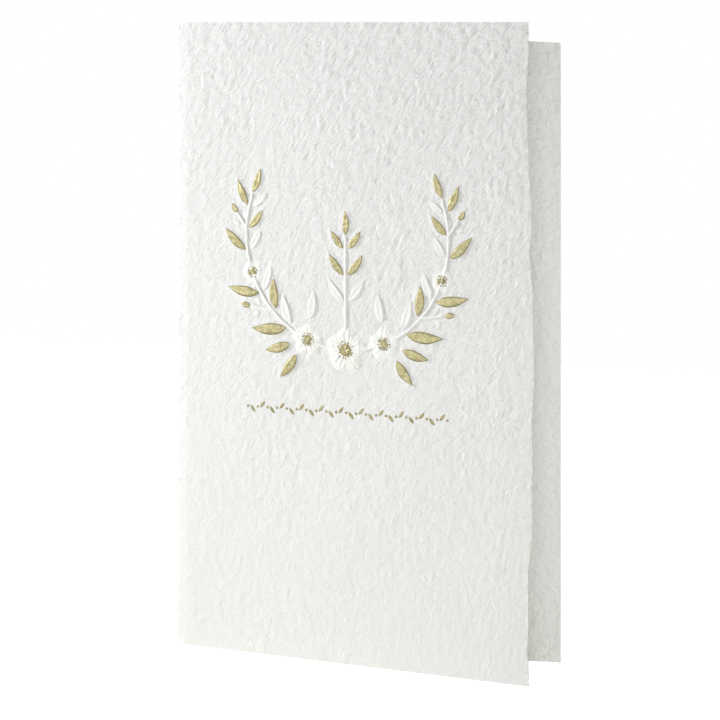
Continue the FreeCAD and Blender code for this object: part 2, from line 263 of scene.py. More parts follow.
leafLook = {
    "heightShare": 0.16,  # of the leaf's width
    "bevelFrom": 0.66,  # of the way from the vein to the rim
    "dish": 0.34,
    "dishWidth": 0.4,
    "vein": 0.2,
    "veinWidth": 0.09,
    "tipFall": 0.55,
    "bend": 0.42,  # how far the tip and foot curve to one side
    "widestBack": 0.14,  # the widest place is this share of the half length behind the middle
    "wavy": 0.03,
    "waves": 7.0,  # radians along half the leaf
    "bendMiddle": 0.3,
    "leastWidth": 0.02,
}


def smoothStep(low, high, values):
    share = np.clip((values - low) / (high - low), 0, 1)
    return share * share * (3 - 2 * share)


def lensWidth(x, halfLength, halfWidth):
    offset = (halfLength**2 - halfWidth**2) / (2 * halfWidth)
    return np.sqrt(np.maximum((offset + halfWidth) ** 2 - x**2, offset**2)) - offset


def leafLine(x, leaf):
    # where along the even lens a place x lies, and how far the leaf's middle line is to the side
    halfLength = leaf["length"] / 2
    share = np.clip(x / halfLength, -1, 1)
    hand = 1 if math.cos(math.radians(leaf["angle"])) > 0 else -1
    bend = hand * leafLook["bend"] * leaf["length"] / motif["leafLength"]
    wave = leafLook["wavy"] * np.sin(leafLook["waves"] * share + leaf["angle"]) * (1 - share**2)
    evenX = x + leafLook["widestBack"] * halfLength * (1 - share**2)
    return evenX, bend * (share**2 - leafLook["bendMiddle"]) + wave


def leafHeight(points, leaf):
    # dished between a vein and a bevelled rim
    halfWidth, halfLength = leaf["width"] / 2, leaf["length"] / 2
    x, y = turnedInto(points, leaf["middle"], leaf["angle"])
    x, side = leafLine(x, leaf)
    y = y - side
    across = np.abs(y) / np.maximum(lensWidth(x, halfLength, halfWidth), leafLook["leastWidth"])
    along = np.clip(np.abs(x) / halfLength, 0, 1)
    profile = 1 - leafLook["dish"] * np.exp(-((across / leafLook["dishWidth"]) ** 2))
    profile += leafLook["vein"] * np.exp(-((across / leafLook["veinWidth"]) ** 2))
    profile *= 1 - smoothStep(leafLook["bevelFrom"], 1, across)
    form = leafLook["heightShare"] * leaf["width"] * profile * (1 - along**2) ** leafLook["tipFall"]
    offset = (halfLength**2 - halfWidth**2) / (2 * halfWidth)
    outside = np.hypot(x, np.abs(y) + offset) - offset - halfWidth
    return np.where(outside < 0, form, -outside)


petalLook = {
    "reach": 0.3,  # petals are looked for this share of the blossom's radius outside it
    "dip": 0.3,  # of the petal's height
    "dipAlong": 0.5,  # of the petal's radius
    "dipAcross": 0.4,
    "pleat": 0.1,
    "pleatCount": 5,
    "pleatFan": 1.2,  # radians that the pleats spread over
    "pleatFoot": 1.6,  # of the petal's radius, from its middle to where the pleats meet
    "ruffle": 0.07,
    "ruffleSize": 0.75,
    "ruffleRise": 0.3,
}


def bloomHeight(allPoints, bloom):
    heights = bloom["radius"] - np.linalg.norm(allPoints - bloom["middle"], axis=-1)
    near = heights > -petalLook["reach"] * bloom["radius"]
    if near.any():
        heights[near] = petalHeight(allPoints[near], bloom)
    return heights


def petalHeight(points, bloom):
    # petals in a ring, each a shallow dome with a dip in its middle and a few soft pleats
    radius, count = bloom["radius"] / 2, motif["petalCount"]
    height = motif["petalHeightShare"] * radius
    best = np.full(len(points), farAway)
    for k in range(count):
        angle = bloom["angle"] + 360 * k / count
        middle = bloom["middle"] + heading(angle) * radius
        x, y = turnedInto(points, middle, angle)
        petal = ballCap(np.hypot(x, y), radius, height)
        dipAlong, dipAcross = petalLook["dipAlong"] * radius, petalLook["dipAcross"] * radius
        dip = petalLook["dip"] * np.exp(-((x / dipAlong) ** 2 + (y / dipAcross) ** 2))
        fan = np.arctan2(y, x + petalLook["pleatFoot"] * radius)
        pleats = fan * 2 * math.pi * petalLook["pleatCount"] / petalLook["pleatFan"]
        pleat = petalLook["pleat"] * np.cos(pleats)
        petal = np.where(petal > 0, petal * (1 - dip - pleat), petal)
        best = np.maximum(best, petal)
    size = petalLook["ruffleSize"]
    ruffle = petalLook["ruffle"] * noiseAt(points[:, 0] / size, points[:, 1] / size, seeds["petals"])
    return np.where(best > 0, best + ruffle * np.minimum(best / petalLook["ruffleRise"], 1), best)


def centreHeight(points, bloom):
    distance = np.linalg.norm(points - bloom["middle"], axis=-1)
    return ballCap(distance, motif["centreShare"] * bloom["radius"], motif["centreHeight"])


def ridgeHeight(distance):
    return ballCap(distance, motif["stemHalfWidth"], motif["stemHeight"])


def stalkHeight(points, stalk):
    x, y = turnedInto(points, stalk["foot"], stalk["angle"])
    past = np.maximum(np.maximum(-x, x - stalk["length"]), 0)
    return ridgeHeight(np.hypot(y, past))


def branchHeight(points):
    away = points - crescentMiddle
    turn = np.degrees(np.abs(np.arctan2(away[:, 0], -away[:, 1])))
    radial = np.linalg.norm(away, axis=-1) - motif["crescentRadius"]
    past = np.radians(np.maximum(turn - branchEnd, 0)) * motif["crescentRadius"]
    return ridgeHeight(np.hypot(radial, past))


def plainHeight(points):
    # what is pressed into the bare paper: stems, petals, plain leaves and buds
    best = branchHeight(points)
    for stalk in stalks:
        best = np.maximum(best, stalkHeight(points, stalk))
    for bloom in blooms:
        best = np.maximum(best, bloomHeight(points, bloom))
    for leaf in leaves:
        if not leaf["gilded"]:
            best = np.maximum(best, leafHeight(points, leaf))
    return best


def gildedHeight(points):
    best = np.full(len(points), farAway)
    for leaf in leaves:
        if leaf["gilded"]:
            best = np.maximum(best, leafHeight(points, leaf))
    for bloom in blooms:
        best = np.maximum(best, centreHeight(points, bloom))
    return best


def ruleNearness(points):
    # 1 on the row of small marks, falling to 0 a little way round it
    v = np.abs(points[:, 1] - (card["height"] - motif["ruleDrop"]))
    halfRow = motif["rulePitch"] * motif["ruleSideCount"] + motif["ruleLozengeRadius"]
    past = np.maximum(np.abs(points[:, 0] - centreU) - halfRow, 0)
    return np.clip(1 - np.hypot(np.maximum(v - paper["ruleFlat"], 0), past) / paper["ruleFade"], 0, 1)


# The paper: its felt marks, its waves and its torn edge

paper = {
    "lumpAlong": 1.6,
    "lumpAcross": 1.15,
    "leanTop": 0.75,  # felt marks lean to the right by this much a millimetre at the top
    "leanFoot": 0.1,
    "lumpHeight": 0.132,
    "creaseHeight": 0.064,
    "creaseScale": 0.8,
    "creaseRound": 0.2,
    "creaseMiddle": 0.7,
    "creaseBend": (-0.4, 0.2),
    "bendScale": 0.4,
    "lumpBend": 0.15,
    "patchSize": 21.0,  # the lumps are stronger and weaker in patches
    "patchShare": 0.25,
    "swellSize": 3.2,  # softer, wider swells under the lumps
    "swellHeight": 0.042,
    "swellUp": 0.7,
    "calmReach": 7.0,  # the lumps are softer within this distance of the pressed forms
    "calmShare": 0.35,
    "strengthTop": 1.48,
    "strengthFoot": 0.72,
    "strengthRight": 0.4,
    "backLumpShare": 0.45,
    "turnLength": 3.0,  # over which the lumps change round the fold
    "waveLength": 38.0,
    "waveHeight": 0.2,
    "waveInwards": 1.25,  # keeps the back's waves inside the fold's line
    "foldInwards": 0.3,
    "foldCalm": 0.15,  # the lumps are softer by the fold
    "foldReach": 22.0,
    "insideGrain": 0.6,
    "flatRim": 20.0,  # the waves die out this far from the edges
    "rimCurl": 0.4,  # how far the torn edge bends back
    "curlReach": 12.0,
    "tearRagged": 0.25,
    "raggedSizes": (2.7, 0.9),
    "raggedFine": 0.5,
    "notchSize": 6.5,
    "notchFrom": 0.55,
    "notchDepth": 2.4,
    "tearThin": 0.11,  # how much each side falls away at the torn edge
    "tearReach": 0.55,
    "frayed": 0.7,
    "frayedLeast": 0.3,
    "frayedSize": (5.0, 2.1),
    "tearCalm": 0.6,  # the lumps die out towards the torn edge
    "tearCalmReach": 2.5,
    "lipHeight": 0.09,
    "lipPlace": 1.3,  # in from the torn edge
    "lipWidth": 0.9,
    "lipShare": 0.4,
    "lipSize": (1.2, 4.5),
    "counterRelief": 0.55,  # the hollow on the reverse, of the relief's height
    "shoulder": 0.15,  # the paper's rise round the gilding
    "shoulderFrom": 0.8,
    "shoulderTo": 0.3,
    "rimTrench": 0.05,
    "rimWidth": 0.12,
    "formsFrom": 1.5,  # no form is nearer to the fold
    "pressedSmooth": 0.85,
    "pressedReach": 0.5,
    "ruleSmooth": 0.8,
    "ruleFlat": 1.4,  # the paper is smooth this far above and below the row of marks
    "ruleFade": 1.2,
}

seeds = {
    "soft": 1.0,
    "ragged": 3.0,
    "bend": 4.0,
    "raggedFine": 5.0,
    "crease": 7.0,
    "notch": 9.0,
    "patch": 11.0,
    "wave": 15.0,
    "lip": 21.0,
    "centreGrain": 27.0,
    "leafFoil": 31.0,
    "frayed": 33.0,
    "petals": 51.0,
    "swell": 61.0,
}


def noiseAt(x, y, seed):
    # smooth noise, mostly from -1 to 1
    full = 1.6
    return np.array([noise.noise((a, b, seed)) for a, b in zip(x.tolist(), y.tolist())]) * full


def feltLines(u, v):
    # place across the lines that the felt marks follow
    return u - paper["leanFoot"] * v - (paper["leanTop"] - paper["leanFoot"]) * v**2 / (2 * card["height"])


def feltStrength(u, v):
    rise = np.clip(v / card["height"], 0, 1)
    strength = paper["strengthFoot"] + (paper["strengthTop"] - paper["strengthFoot"]) * rise
    strength *= 1 + paper["strengthRight"] * u / frontRun
    return strength * (1 - paper["foldCalm"] * (1 - smoothStep(0, paper["foldReach"], np.abs(u))))


def feltAt(u, v):
    along, across = v / paper["lumpAlong"], feltLines(u, v) / paper["lumpAcross"]
    bend = noiseAt(paper["bendScale"] * along, paper["bendScale"] * across, seeds["bend"])
    soft = noiseAt(along + paper["lumpBend"] * bend, across - paper["lumpBend"] * bend, seeds["soft"])
    scale, (bendAlong, bendAcross) = paper["creaseScale"], paper["creaseBend"]
    ridge = noiseAt(scale * along + bendAlong * bend, scale * across + bendAcross * bend, seeds["crease"])
    crease = 2 * np.hypot(ridge, paper["creaseRound"]) - paper["creaseMiddle"]
    patch = noiseAt(u / paper["patchSize"], v / paper["patchSize"], seeds["patch"])
    strength = feltStrength(u, v) * (1 + paper["patchShare"] * patch)
    size = paper["swellSize"]
    swell = noiseAt(feltLines(u, v) / size, paper["swellUp"] * v / size, seeds["swell"])
    lumps = paper["lumpHeight"] * soft + paper["creaseHeight"] * crease
    return strength * (lumps + paper["swellHeight"] * swell)


def tornEnd(heights):
    # where the torn edge lies, as on the solid, with a finer raggedness inwards
    v, places = np.unique(heights, return_inverse=True)
    wave = 2 * math.pi * (v - card["tearCrest"]) / card["tearLength"]
    sway = sum(share * np.cos(often * wave - lag) for often, share, lag in card["tearSway"])
    coarse, fine = paper["raggedSizes"]
    fineRags = paper["raggedFine"] * noiseAt(v / fine, 0 * v, seeds["raggedFine"])
    ragged = np.abs(noiseAt(v / coarse, 0 * v, seeds["ragged"]) + fineRags)
    notch = np.maximum(noiseAt(v / paper["notchSize"], 0 * v, seeds["notch"]) - paper["notchFrom"], 0)
    inwards = paper["tearRagged"] * (ragged + paper["notchDepth"] * notch)
    return (frontRun - card["tearDepth"] * (0.5 - sway) - inwards)[places]


def sheetWave(u, v):
    rim = paper["flatRim"]
    toEdge = np.minimum(np.minimum(v, card["height"] - v), np.maximum(u, -u - foldRun))
    wave = noiseAt(u / paper["waveLength"], v / paper["waveLength"], seeds["wave"])
    wave = np.where(u > 0, wave, wave - paper["waveInwards"])
    curl = np.where(u > 0, np.clip(1 - (tornEnd(v) - u) / paper["curlReach"], 0, 1) ** 2, 0)
    return paper["waveHeight"] * wave * np.clip(toEdge / rim, 0, 1) - paper["rimCurl"] * curl


def outerGround(u, v, pressed):
    # the outer face's distance from the middle of the sheet, but for the pressed forms
    toTear = np.maximum(tornEnd(v) - u, 0)
    inSize, upSize = paper["frayedSize"]
    fraying = 1 + paper["frayed"] * noiseAt(u / inSize, v / upSize, seeds["frayed"])
    frayed = toTear * np.maximum(fraying, paper["frayedLeast"])
    tear = np.where(u > 0, np.exp(-frayed / paper["tearReach"]), 0)
    bulge = np.exp(-(((toTear - paper["lipPlace"]) / paper["lipWidth"]) ** 2))
    lip = np.where(u > 0, paper["lipHeight"] * bulge, 0)
    inSize, upSize = paper["lipSize"]
    lip *= paper["lipShare"] + noiseAt(u / inSize, v / upSize, seeds["lip"])
    turn = paper["turnLength"]
    onBack, onTurn = np.clip((-u - foldRun) / turn, 0, 1), np.clip(1 - u / turn, 0, 1)
    lumps = feltAt(u, v) * (1 - paper["pressedSmooth"] * pressed)
    lumps *= np.where(u > 0, 1 - paper["tearCalm"] * np.exp(-toTear / paper["tearCalmReach"]), 1)
    lumps -= paper["foldInwards"] * onTurn
    lumps *= 1 - (1 - paper["backLumpShare"]) * onBack
    return sheetWave(u, v) + card["thickness"] / 2 + lumps + lip - paper["tearThin"] * tear, tear


def sheetSurface(u, v, side):
    # offset from the sheet's middle for the outer face (side 1) to the inner (side -1)
    points = np.stack([u, v], -1)
    onFront = u > paper["formsFrom"]
    plain = np.where(onFront, plainHeight(points), farAway)
    gilded = np.where(onFront, gildedHeight(points), farAway)
    nearest = np.maximum(plain, gilded)
    rule = np.where(onFront, ruleNearness(points), 0)
    pressed = np.clip(1 + nearest / paper["pressedReach"], 0, 1)
    pressed = np.maximum(pressed, paper["ruleSmooth"] * rule)
    pressed = np.maximum(pressed, paper["calmShare"] * smoothStep(-paper["calmReach"], 0, nearest))
    shoulder = paper["shoulder"] * smoothStep(-paper["shoulderFrom"], -paper["shoulderTo"], gilded)
    raised = np.maximum(np.maximum(plain, 0), shoulder)
    width = paper["rimWidth"]
    trench = -paper["rimTrench"] * np.exp(-(((plain + width) / width) ** 2))
    relief = np.where(plain > 0, raised, trench + shoulder)
    ground, tear = outerGround(u, v, pressed)
    outer = ground + relief
    inner = sheetWave(u, v) - card["thickness"] / 2 + paper["tearThin"] * tear
    inner += paper["counterRelief"] * raised
    return inner + (outer - inner) * (side + 1) / 2, np.clip(plain / width, 0, 1), tear


# The sheet's mesh is one closed skin. It is laid out flat as points of u, v and side,
# refined near the pressed forms and the torn edge, and then bent into place.

skin = {
    "fineAcross": 0.74,
    "fineUp": 0.74,
    "foldStep": 0.4,
    "foldInnerStep": 0.5,
    "rearStep": 2.0,
    "rearGap": 1.2,  # between the fine skin and the rear one
    "rimColumns": 3,  # fine columns that go on round the torn edge
    "pastFold": 2.5,  # the fine skin goes on this far over the back
    "stretchFrom": 100.0,  # from here the columns spread to meet the torn edge
    "refineFrom": 5.0,
    "refineNear": 0.3,
    "refineFirst": 3,  # the first halving reaches this many times as far
    "refineEdge": 1.1,
    "grainApart": 7.0,  # keeps the grain of the two faces apart
    "sharpFrom": 60.0,
}


def trueU(u, v):
    start = skin["stretchFrom"]
    share = np.maximum(u - start, 0) / (frontRun - start)
    return np.where(u > start, start + share * (tornEnd(v) - start), u)


def evenSteps(start, end, step):
    return np.linspace(start, end, max(2, round(abs(end - start) / step) + 1))


def gridPatch(columns, sides, rows, firstIndex):
    index = np.arange(len(columns) * len(rows)).reshape(len(columns), len(rows)) + firstIndex
    corners = [index[:-1, :-1], index[1:, :-1], index[1:, 1:], index[:-1, 1:]]
    faces = np.stack([corner.ravel() for corner in corners], -1).tolist()
    across, side = np.repeat(columns, len(rows)), np.repeat(sides, len(rows))
    return np.stack([across, np.tile(rows, len(columns)), side], -1), faces, index


def stitch(lineA, lineB, whereA, whereB):
    # triangles between two lines of points that run side by side
    faces, i, j = [], 0, 0
    while i < len(lineA) - 1 or j < len(lineB) - 1:
        nextA = whereA[i + 1] if i < len(lineA) - 1 else math.inf
        nextB = whereB[j + 1] if j < len(lineB) - 1 else math.inf
        if nextA <= nextB:
            faces.append([int(lineA[i]), int(lineA[i + 1]), int(lineB[j])])
            i += 1
        else:
            faces.append([int(lineA[i]), int(lineB[j + 1]), int(lineB[j])])
            j += 1
    return faces


def layFlatSkin():
    fine, rear = skin["fineAcross"], skin["rearStep"]
    backStart, backEnd = -foldRun - skin["pastFold"], -foldRun - backRun
    fold = evenSteps(backStart, 0, skin["foldStep"])[:-1]
    front = evenSteps(0, frontRun, fine)
    rim = frontRun - np.arange(skin["rimColumns"]) * fine
    columns = np.concatenate([fold, front, rim])
    sides = np.concatenate([np.ones(len(fold) + len(front)), -np.ones(len(rim))])
    rows = evenSteps(0, card["height"], skin["fineUp"])
    points, faces, index = gridPatch(columns, sides, rows, 0)
    rearOuter = evenSteps(backStart - skin["rearGap"], backEnd, rear)
    rearInner = evenSteps(backEnd, -foldRun, rear)
    foldInner = evenSteps(-foldRun, 0, skin["foldInnerStep"])[1:-1]
    frontInner = evenSteps(0, rim[-1] - skin["rearGap"], rear)
    rearColumns = np.concatenate([rearOuter, rearInner, foldInner, frontInner])
    rearSides = np.where(np.arange(len(rearColumns)) < len(rearOuter), 1.0, -1.0)
    rearRows = evenSteps(0, card["height"], rear)
    rearPoints, rearFaces, rearIndex = gridPatch(rearColumns, rearSides, rearRows, len(points))
    faces += rearFaces
    faces += stitch(index[0], rearIndex[0], rows, rearRows)
    faces += stitch(index[-1], rearIndex[-1], rows, rearRows)
    outerCount, fineOuter = len(rearOuter), len(fold) + len(front)
    outerWhere = np.concatenate([rearOuter[::-1], columns[:fineOuter]])
    innerWhere = np.concatenate([rearColumns[outerCount:], rim[::-1]])
    for row in (0, -1):
        outerLine = np.concatenate([rearIndex[:outerCount, row][::-1], index[:fineOuter, row]])
        innerLine = np.concatenate([rearIndex[outerCount:, row], index[fineOuter:, row][::-1]])
        faces += stitch(outerLine, innerLine, outerWhere, innerWhere)
    return np.concatenate([points, rearPoints]), faces


def flatPoints(flat):
    u, v, side = np.array([vertex.co for vertex in flat.verts]).T
    return trueU(u, v), v, side


def refine(flat, isWanted):
    # halves the edges with both ends wanted
    flat.verts.index_update()
    wanted = isWanted(*flatPoints(flat))
    edges = [edge for edge in flat.edges if wanted[edge.verts[0].index] and wanted[edge.verts[1].index]]
    bmesh.ops.subdivide_edges(flat, edges=edges, cuts=1, use_grid_fill=True)


def nearForms(u, v, side):
    points = np.stack([u, v], -1)
    nearest = np.maximum(plainHeight(points), gildedHeight(points))
    wanted = nearest > -skin["refineFirst"] * skin["refineNear"]
    return (side > 0) & (u > skin["refineFrom"]) & wanted | nearTear(u, v)


def nearPlainForms(u, v, side):
    wanted = plainHeight(np.stack([u, v], -1)) > -skin["refineNear"]
    return (side > 0) & (u > skin["refineFrom"]) & wanted | nearTear(u, v)


def nearTear(u, v):
    return tornEnd(v) - u < skin["refineEdge"]


def addObject(mesh, nodes):
    piece = bpy.data.objects.new(mesh.name, mesh)
    bpy.context.scene.collection.objects.link(piece)
    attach(piece, "root")
    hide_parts(*nodes)
    return piece


def triangleCount(mesh):
    return sum(len(polygon.vertices) - 2 for polygon in mesh.polygons)


def addValues(mesh, name, values):
    mesh.attributes.new(name, "FLOAT", "POINT").data.foreach_set("value", np.asarray(values, np.float32))


def addVectors(mesh, name, vectors):
    mesh.attributes.new(name, "FLOAT_VECTOR", "POINT").data.foreach_set("vector", np.float32(vectors).ravel())


def buildSheet():
    points, faces = layFlatSkin()
    mesh = bpy.data.meshes.new("pressedSheet")
    mesh.from_pydata(points.tolist(), [], faces)
    flat = bmesh.new()
    flat.from_mesh(mesh)
    refine(flat, nearForms)
    refine(flat, nearPlainForms)
    u, v, side = flatPoints(flat)
    offset, plain, tear = sheetSurface(u, v, side)
    for vertex, place in zip(flat.verts, sheetPoints(u, v, offset)):
        vertex.co = place
    bmesh.ops.triangulate(flat, faces=[face for face in flat.faces if len(face.verts) > 4])
    bmesh.ops.recalc_face_normals(flat, faces=flat.faces)
    flat.to_mesh(mesh)
    flat.free()
    acrossFelt = np.where(side > 0, feltLines(u, v), u)
    addVectors(mesh, "feltPlace", np.stack([acrossFelt, v, skin["grainApart"] * side], -1))
    addValues(mesh, "plainForm", np.where(side > 0, plain, 0))
    addValues(mesh, "torn", tear)
    addValues(mesh, "outside", (side + 1) / 2)
    addValues(mesh, "grainShare", np.where(side > 0, feltStrength(u, v), paper["insideGrain"]))
    mesh.shade_smooth()
    mesh.set_sharp_from_angle(angle=math.radians(skin["sharpFrom"]))
    print("sheet:", triangleCount(mesh), "triangles")
    return addObject(mesh, ["folded_sheet"])


sheet = buildSheet()


# Gilding: thin foil over the raised leaves, the blossoms' centres and the small marks

foil = {
    "lift": 0.02,
    "sunk": 0.14,  # how far its rim goes down into the paper
    "bluntTip": 0.985,
    "leafSteps": (40, 14),
    "centreSteps": 34,
    "markSteps": (10, 4),
    "ruffle": 0.02,
    "ruffleSize": 0.7,
    "grainHeight": 0.2,
    "grainSize": 0.3,
    # painted shade in the low places between the centre's grains
    "grainShade": 1.6,
    "centreFlat": 0.55,  # the mound's height, of the solid centre's
    "strayCount": 16,
    "strayRadius": (0.16, 0.34),
    "strayReach": (0.85, 1.45),  # of the centre's radius
    "strayHeight": 0.16,
    "straySteps": 4,
    "strayTurn": 0.7,  # how unevenly the grains stand round the centre
    "strayUneven": 0.9,  # and how far out
    "strayChances": {"turn": (1.7, 41.0), "reach": (2.3, 45.0), "radius": (3.1, 49.0)},  # step and seed
    # painted shade: the foil is painted darker over these widths towards its edges and tips
    "rimWidth": 0.22,
    "tipRim": 0.06,  # of the leaf's half length
    "centreRim": 0.2,  # of the centre's radius
    "markTip": 0.96,
    "markHeight": 0.05,
    "sharpFrom": 50.0,
}


class FoilMesh:
    # gathers small closed shells, each a grid of points over the face
    def __init__(self):
        self.places, self.faces, self.rim = [], [], []

    def addShell(self, u, v, height, rim, base):
        rows, columns = u.shape
        first = len(self.places)
        index = np.arange(rows * columns).reshape(rows, columns) + first
        points = np.stack([u.ravel(), v.ravel()], -1)
        ground, _ = outerGround(points[:, 0], points[:, 1], np.ones(len(points)))
        ground += base + foil["lift"]
        self.places += sheetPoints(points[:, 0], points[:, 1], ground + height.ravel()).tolist()
        # rim is the share of painted shade at each point, darkening the foil towards its edges
        self.rim += rim.ravel().tolist()
        corners = [index[:-1, :-1], index[1:, :-1], index[1:, 1:], index[:-1, 1:]]
        self.faces += np.stack([corner.ravel() for corner in corners], -1).tolist()
        loop = np.concatenate([index[:-1, 0], index[-1, :-1], index[:0:-1, -1], index[0, :0:-1]])
        flat = loop - first
        sunk = ground[flat] - foil["sunk"]
        self.places += sheetPoints(points[flat, 0], points[flat, 1], sunk).tolist()
        low = np.arange(len(loop)) + first + rows * columns
        centre = low[-1] + 1
        middleU, middleV = points[flat].mean(axis=0)
        self.places.append(sheetPoints(middleU, middleV, sunk.mean()).tolist())
        # the sunk skirt takes the full painted shade
        self.rim += [1.0] * (len(loop) + 1)
        for a, b, c, d in zip(loop, np.roll(loop, -1), np.roll(low, -1), low):
            self.faces += [[int(a), int(d), int(c), int(b)], [int(d), int(centre), int(c)]]

    def finish(self, name, nodes):
        mesh = bpy.data.meshes.new(name)
        mesh.from_pydata(self.places, [], self.faces)
        addValues(mesh, "rim", self.rim)
        shape = bmesh.new()
        shape.from_mesh(mesh)
        bmesh.ops.recalc_face_normals(shape, faces=shape.faces)
        shape.to_mesh(mesh)
        shape.free()
        mesh.shade_smooth()
        mesh.set_sharp_from_angle(angle=math.radians(foil["sharpFrom"]))
        print(name + ":", triangleCount(mesh), "triangles")
        return addObject(mesh, nodes)


def squareGrid(rows, columns):
    # from -1 to 1 both ways, closer together towards the rim
    along = -np.cos(np.linspace(0, math.pi, rows + 1))
    across = np.sin(np.linspace(-1, 1, columns + 1) * math.pi / 2)
    return np.meshgrid(along, across, indexing="ij")


def placed(x, y, middle, angle):
    along = heading(angle)
    return middle[0] + x * along[0] - y * along[1], middle[1] + x * along[1] + y * along[0]


def gildLeaf(shells, leaf):
    along, across = squareGrid(*foil["leafSteps"])
    x = along * foil["bluntTip"] * leaf["length"] / 2
    evenX, side = leafLine(x, leaf)
    reach = lensWidth(evenX, leaf["length"] / 2, leaf["width"] / 2)
    u, v = placed(x, across * reach + side, leaf["middle"], leaf["angle"])
    points = np.stack([u.ravel(), v.ravel()], -1)
    size = foil["ruffleSize"]
    ruffle = foil["ruffle"] * noiseAt(points[:, 0] / size, points[:, 1] / size, seeds["leafFoil"])
    height = (np.maximum(leafHeight(points, leaf), 0) + ruffle).reshape(u.shape)
    # painted shade towards the leaf's edges and tips
    rim = np.clip(1 - (1 - np.abs(across)) * reach / foil["rimWidth"], 0, 1)
    rim = np.maximum(rim, np.clip(1 - (1 - np.abs(along)) / foil["tipRim"], 0, 1))
    shells.addShell(u, v, height, rim, paper["shoulder"])


def gildCentre(shells, bloom):
    # a small mound of grains
    a, b = squareGrid(foil["centreSteps"], foil["centreSteps"])
    radius = motif["centreShare"] * bloom["radius"]
    x, y = radius * a * np.sqrt(1 - b**2 / 2), radius * b * np.sqrt(1 - a**2 / 2)
    u, v = placed(x, y, bloom["middle"], 0)
    points = np.stack([u.ravel(), v.ravel()], -1)
    size, justOver = foil["grainSize"], 1.001
    grain = noiseAt(points[:, 0] / size, points[:, 1] / size, seeds["centreGrain"]).reshape(u.shape)
    distance = np.hypot(x, y) / radius
    height = ballCap(distance * radius, radius * justOver, foil["centreFlat"] * motif["centreHeight"])
    height += foil["grainHeight"] * (1 - distance**4) * grain
    under = np.maximum(bloomHeight(points, bloom), 0)
    toRim = 1 - (1 - distance) / foil["centreRim"]
    # painted shade at the centre's edge and in the hollows between its grains
    shells.addShell(u, v, height, np.clip(np.maximum(toRim, -foil["grainShade"] * grain), 0, 1), under)
    for k in range(foil["strayCount"]):
        gildStray(shells, bloom, k)


def strayChance(bloom, k, kind):
    step, seed = foil["strayChances"][kind]
    return noise.noise((k * step, bloom["radius"], seed))


def gildStray(shells, bloom, k):
    # a grain of foil out on the petals
    turn = 360 * (k + foil["strayTurn"] * strayChance(bloom, k, "turn")) / foil["strayCount"]
    share = 0.5 + foil["strayUneven"] * strayChance(bloom, k, "reach")
    low, high = foil["strayReach"]
    reach = motif["centreShare"] * bloom["radius"] * (low + (high - low) * share) + 2 * motif["foilMargin"]
    low, high = foil["strayRadius"]
    radius = low + (high - low) * (0.5 + strayChance(bloom, k, "radius"))
    a, b = squareGrid(foil["straySteps"], foil["straySteps"])
    middle = bloom["middle"] + heading(turn) * reach
    u, v = placed(radius * a * np.sqrt(1 - b**2 / 2), radius * b * np.sqrt(1 - a**2 / 2), middle, turn)
    points = np.stack([u.ravel(), v.ravel()], -1)
    height = foil["strayHeight"] * (1 - np.minimum(a**2 + b**2 - a**2 * b**2, 1) ** 2)
    under = np.maximum(bloomHeight(points, bloom), 0)
    # painted shade towards the grain's edge
    shells.addShell(u, v, height, np.maximum(np.abs(a), np.abs(b)) ** 4, under)


def gildMark(shells, middle, angle, length, width, flatShare):
    along, across = squareGrid(*foil["markSteps"])
    tip = foil["markTip"]
    x = along * length / 2 * tip
    reach = width / 2 * np.minimum(1, (1 - np.abs(tip * along)) / (1 - flatShare))
    u, v = placed(x, across * reach, middle, angle)
    height = foil["markHeight"] * (1 - np.maximum(np.abs(along), np.abs(across)) ** 6)
    # painted shade towards the mark's edges
    shells.addShell(u, v, height, np.maximum(along**2, across**2), 0)


def buildGilding():
    leafShells, centreShells, ruleShells = FoilMesh(), FoilMesh(), FoilMesh()
    for leaf in leaves:
        if leaf["gilded"]:
            gildLeaf(leafShells, leaf)
    for bloom in blooms:
        gildCentre(centreShells, bloom)
    pitch, diameter = motif["rulePitch"], 2 * motif["ruleLozengeRadius"]
    row = np.array([centreU, card["height"] - motif["ruleDrop"]])
    count = motif["ruleSideCount"]
    for k in range(-count, count + 1):
        gildMark(ruleShells, row + [k * pitch, 0], 0, diameter, diameter, 0)
    length, width, flatShare = motif["ruleMarkLength"], motif["ruleMarkWidth"], motif["ruleMarkFlat"]
    for k in range(-count, count):
        way = 1 if k % 2 else -1
        middle = row + [(k + 0.5) * pitch, way * motif["ruleMarkOffset"]]
        gildMark(ruleShells, middle, way * motif["ruleLean"], length, width, flatShare)
    return [
        leafShells.finish("gildedLeaves", ["foil_leaves"]),
        centreShells.finish("gildedCentres", ["foil_dots"]),
        ruleShells.finish("gildedRule", ["foil_rule"]),
    ]


gilding = buildGilding()


# Shader nodes

class Signal:
    def __init__(self, graph, socket):
        self.graph, self.socket = graph, socket

    def maths(self, operation, first, second):
        return self.graph.node("ShaderNodeMath", {"operation": operation}, {0: first, 1: second})

    def __add__(self, other):
        return self.maths("ADD", self, other)

    def __radd__(self, other):
        return self.maths("ADD", other, self)

    def __sub__(self, other):
        return self.maths("SUBTRACT", self, other)

    def __rsub__(self, other):
        return self.maths("SUBTRACT", other, self)

    def __mul__(self, other):
        return self.maths("MULTIPLY", self, other)

    def __rmul__(self, other):
        return self.maths("MULTIPLY", other, self)

    def __pow__(self, other):
        return self.maths("POWER", self, other)


